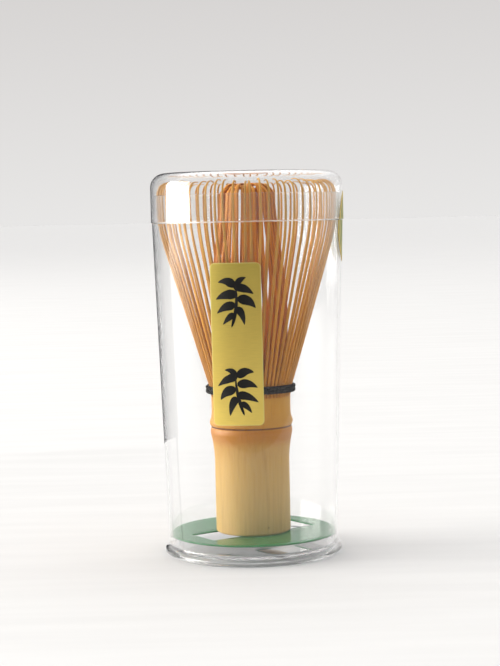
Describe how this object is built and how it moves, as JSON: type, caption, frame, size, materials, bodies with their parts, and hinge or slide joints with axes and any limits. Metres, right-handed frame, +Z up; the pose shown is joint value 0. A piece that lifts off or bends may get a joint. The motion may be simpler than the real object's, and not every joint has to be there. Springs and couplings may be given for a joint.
{
  "type": "bamboo tea whisk in case",
  "caption": "Split-bamboo tea whisk with outer and inner tines, thread binding and noded handle, standing on a slotted disc in a clear lidded case.",
  "frame": {"origin": "middle of the case's foot, on the surface that it stands on", "axes": "+Z up along the case's axis, -Y is the front, where the label is"},
  "size_m": [0.0642, 0.064, 0.1273],
  "materials": {
    "clear_plastic": "clear, glossy, injection moulded",
    "gold_label": "gold foil on paper, satin",
    "seal_paper": "olive gold foil on paper, satin",
    "green_sheet": "green sheet, glossy",
    "culm_bamboo": "dried bamboo, satin, with fine grain",
    "tine_bamboo": "split bamboo skin, satin",
    "core_bamboo": "shaved bamboo, matt",
    "black_thread": "twisted cotton, matt"
  },
  "bodies": {
    "case": {"case_body": "clear_plastic", "front_label": "gold_label", "seal_body_half": "seal_paper"},
    "stand": {"green_stand": "green_sheet"},
    "whisk": {"handle": "culm_bamboo", "outer_tines": "tine_bamboo", "inner_tines": "core_bamboo", "thread_lower_round": "black_thread", "thread_upper_round": "black_thread"},
    "lid": {"case_lid": "clear_plastic", "seal_lid_half": "seal_paper"}
  },
  "joints": [
    {"name": "stand_lift", "type": "slide", "parent": "case", "child": "stand", "axis": [0, 0, 1], "range_m": [0, 0.118]},
    {"name": "whisk_lift", "type": "slide", "parent": "stand", "child": "whisk", "axis": [0, 0, 1], "range_m": [0, 0.12]},
    {"name": "lid_lift", "type": "slide", "parent": "whisk", "child": "lid", "axis": [0, 0, 1], "range_m": [0, 0.03]}
  ]
}
